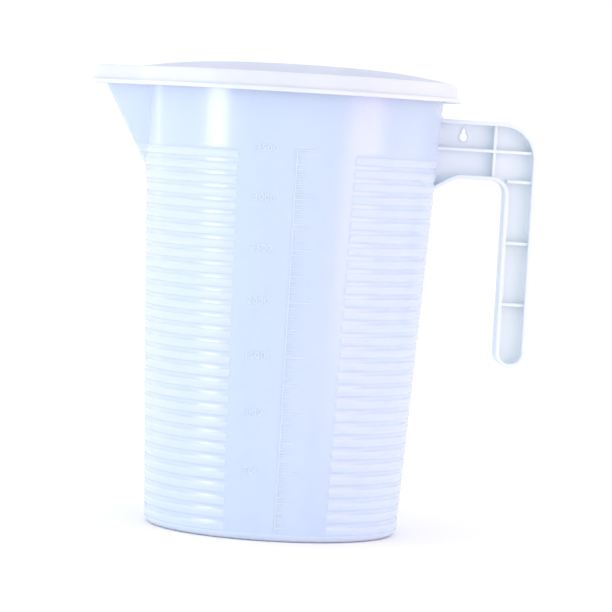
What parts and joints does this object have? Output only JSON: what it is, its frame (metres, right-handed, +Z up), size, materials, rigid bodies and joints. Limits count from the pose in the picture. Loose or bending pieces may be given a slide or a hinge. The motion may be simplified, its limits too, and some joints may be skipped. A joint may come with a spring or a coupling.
{
  "type": "lidded measuring jug",
  "caption": "Tapered round pouring jug with moulded rings, a raised volume scale, V spout, open hook handle and a lift-off domed lid.",
  "frame": {"origin": "centre of the foot ring, on the surface the jug stands on", "axes": "+Z up along the jug's axis, -X towards the spout's point, +X towards the handle, -Y the side with the scale"},
  "size_m": [0.2483, 0.1836, 0.257],
  "materials": {
    "jug_plastic": "moulded natural polypropylene, milky and translucent, glossy between frosted rings",
    "handle_plastic": "moulded natural polypropylene, milky and translucent",
    "lid_plastic": "moulded natural polypropylene, whiter and thicker-looking than the jug"
  },
  "bodies": {
    "jug": {"jug_body": "jug_plastic", "handle": "handle_plastic"},
    "lid": {"lid": "lid_plastic"}
  },
  "joints": [
    {"name": "lid_lift", "type": "slide", "parent": "jug", "child": "lid", "axis": [0, 0, 1], "range_m": [0, 0.15]}
  ]
}
